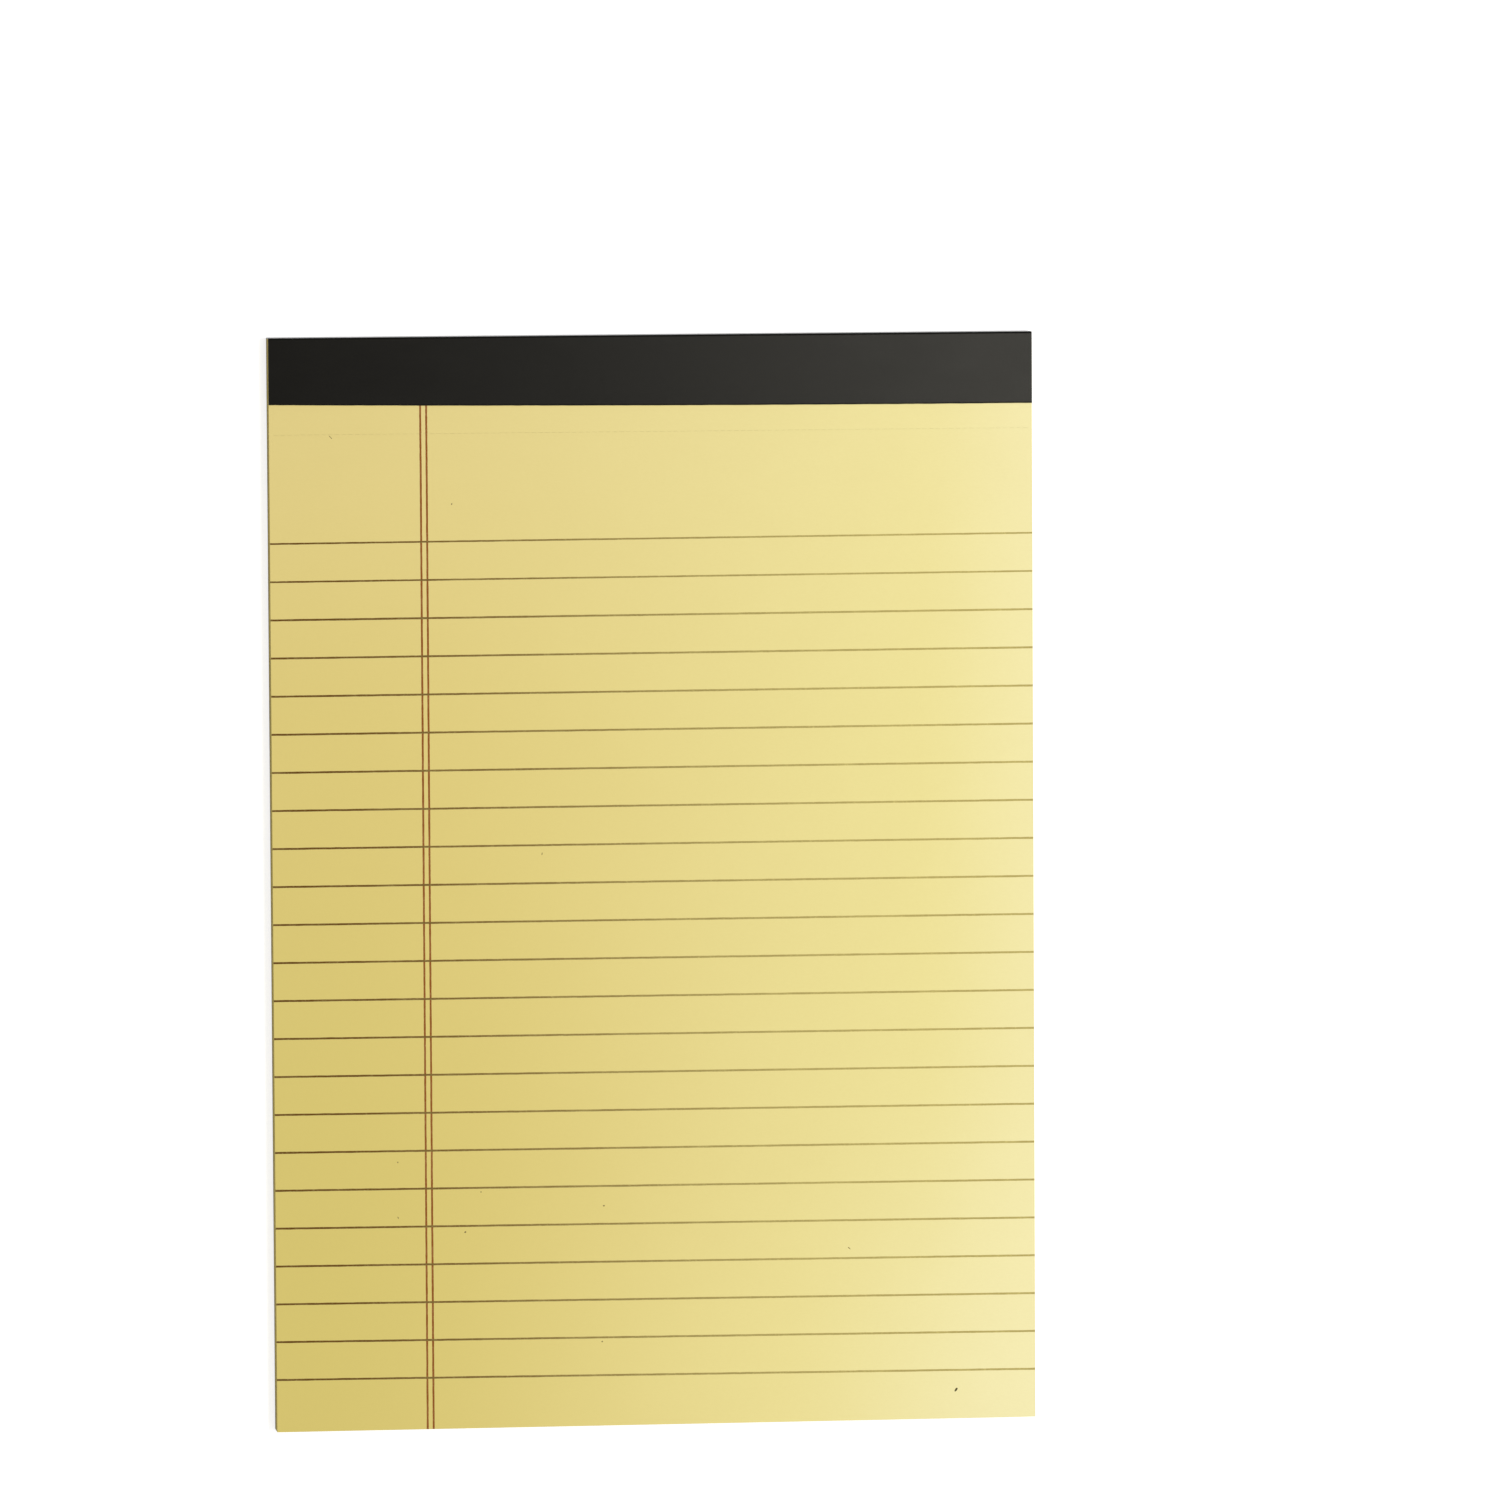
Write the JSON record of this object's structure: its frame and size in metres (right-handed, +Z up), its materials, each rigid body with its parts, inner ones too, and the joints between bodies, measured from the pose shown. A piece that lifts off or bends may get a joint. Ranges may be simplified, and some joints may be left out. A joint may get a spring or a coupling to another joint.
{
  "type": "ruled writing pad",
  "caption": "Small writing pad of yellow ruled sheets on a grey board, with a dark tape folded over the stitched head and a tear line below it.",
  "frame": {"origin": "under the middle of the pad, on the surface that it lies on", "axes": "+X to the right of the page, +Y towards the bound head, +Z up out of the front page"},
  "size_m": [0.147, 0.21, 0.0054],
  "materials": {
    "yellow_paper": "uncoated, matt",
    "greyboard": "matt, flecked with fibres",
    "dark_tape": "satin, fine grained",
    "stitch_wire": "drawn and galvanised",
    "rule_ink": "matt ink",
    "margin_ink": "matt ink"
  },
  "bodies": {
    "root": {"page_block": "yellow_paper", "backing_board": "greyboard", "binding_tape": "dark_tape", "wire_stitch_left": "stitch_wire", "wire_stitch_right": "stitch_wire", "ruled_lines": "rule_ink", "margin_lines": "margin_ink"}
  },
  "joints": []
}
